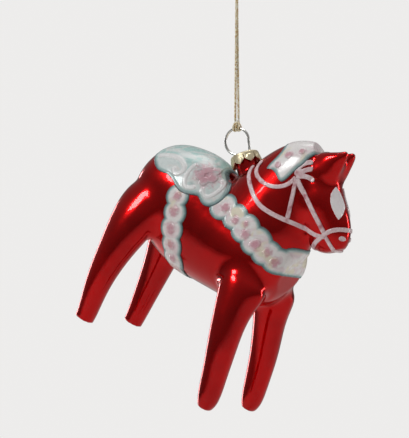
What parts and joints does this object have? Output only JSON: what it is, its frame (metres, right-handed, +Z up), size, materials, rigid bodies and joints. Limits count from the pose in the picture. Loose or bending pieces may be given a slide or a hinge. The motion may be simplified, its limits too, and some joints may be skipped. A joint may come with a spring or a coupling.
{
  "type": "christmas ornament",
  "caption": "Hollow blown glass horse ornament, red lacquer with raised enamel saddle, bands and bridle, crown cap with spring wire loop, gold hanging thread.",
  "frame": {"origin": "underside of the thread's top loop, where a hook or twig takes the weight", "axes": "+Z up along the taut thread, +X the way the horse faces, +Y the horse's left; stored as it hangs, nose down"},
  "size_m": [0.0909, 0.0388, 0.1487],
  "materials": {
    "red_lacquered_glass": "clear glass, silvered inside, under mirror gloss red lacquer",
    "teal_enamel": "thin gloss paint",
    "saddle_enamel": "thick gloss paint, white and pale teal",
    "white_enamel": "thick gloss paint",
    "cream_pink_enamel": "thick gloss paint, white, cream and pink",
    "rose_enamel": "thick gloss paint",
    "pink_white_enamel": "thick gloss paint",
    "pale_gold_cap": "pressed sheet, satin",
    "spring_wire": "bright drawn wire",
    "gold_thread": "twisted metallised yarn"
  },
  "bodies": {
    "thread": {"hanging_thread": "gold_thread", "thread_knot": "gold_thread"},
    "hitch": {"thread_hitch": "gold_thread"},
    "hanger": {"hanger_wire": "spring_wire"},
    "cap": {"crown_cap": "pale_gold_cap"},
    "horse": {"glass_body": "red_lacquered_glass", "saddle_rim": "teal_enamel", "breast_band_rim": "teal_enamel", "girth_rim": "teal_enamel", "mane_rim": "teal_enamel", "saddle_fill": "saddle_enamel", "saddle_scrolls": "white_enamel", "saddle_rose": "rose_enamel", "breast_band_fill": "cream_pink_enamel", "girth_fill": "cream_pink_enamel", "mane_fill": "cream_pink_enamel", "breast_band_dots": "rose_enamel", "girth_dots": "rose_enamel", "mane_dots": "rose_enamel", "neck_rein": "pink_white_enamel", "brow_strap": "pink_white_enamel", "throat_strap": "pink_white_enamel", "cheek_strap": "pink_white_enamel", "noseband": "pink_white_enamel", "lip_strap": "pink_white_enamel", "rosette_tabs": "pink_white_enamel", "eye_right": "white_enamel", "eye_left": "white_enamel", "nostrils": "pink_white_enamel"}
  },
  "joints": [
    {"name": "thread_spin", "type": "hinge", "parent": "thread", "child": "hitch", "pos_m": [0, 0, -0.0559], "axis": [0, 0, 1], "continuous": true},
    {"name": "horse_tilt", "type": "hinge", "parent": "hitch", "child": "hanger", "pos_m": [0, 0, -0.0626], "axis": [0, 1, 0], "range_deg": [-60, 60]},
    {"name": "cap_slip", "type": "slide", "parent": "hanger", "child": "cap", "axis": [-0.3256, 0, 0.9455], "range_m": [0, 0.0003]},
    {"name": "horse_pull", "type": "slide", "parent": "hanger", "child": "horse", "axis": [0.3256, 0, -0.9455], "range_m": [0, 0.016]}
  ]
}
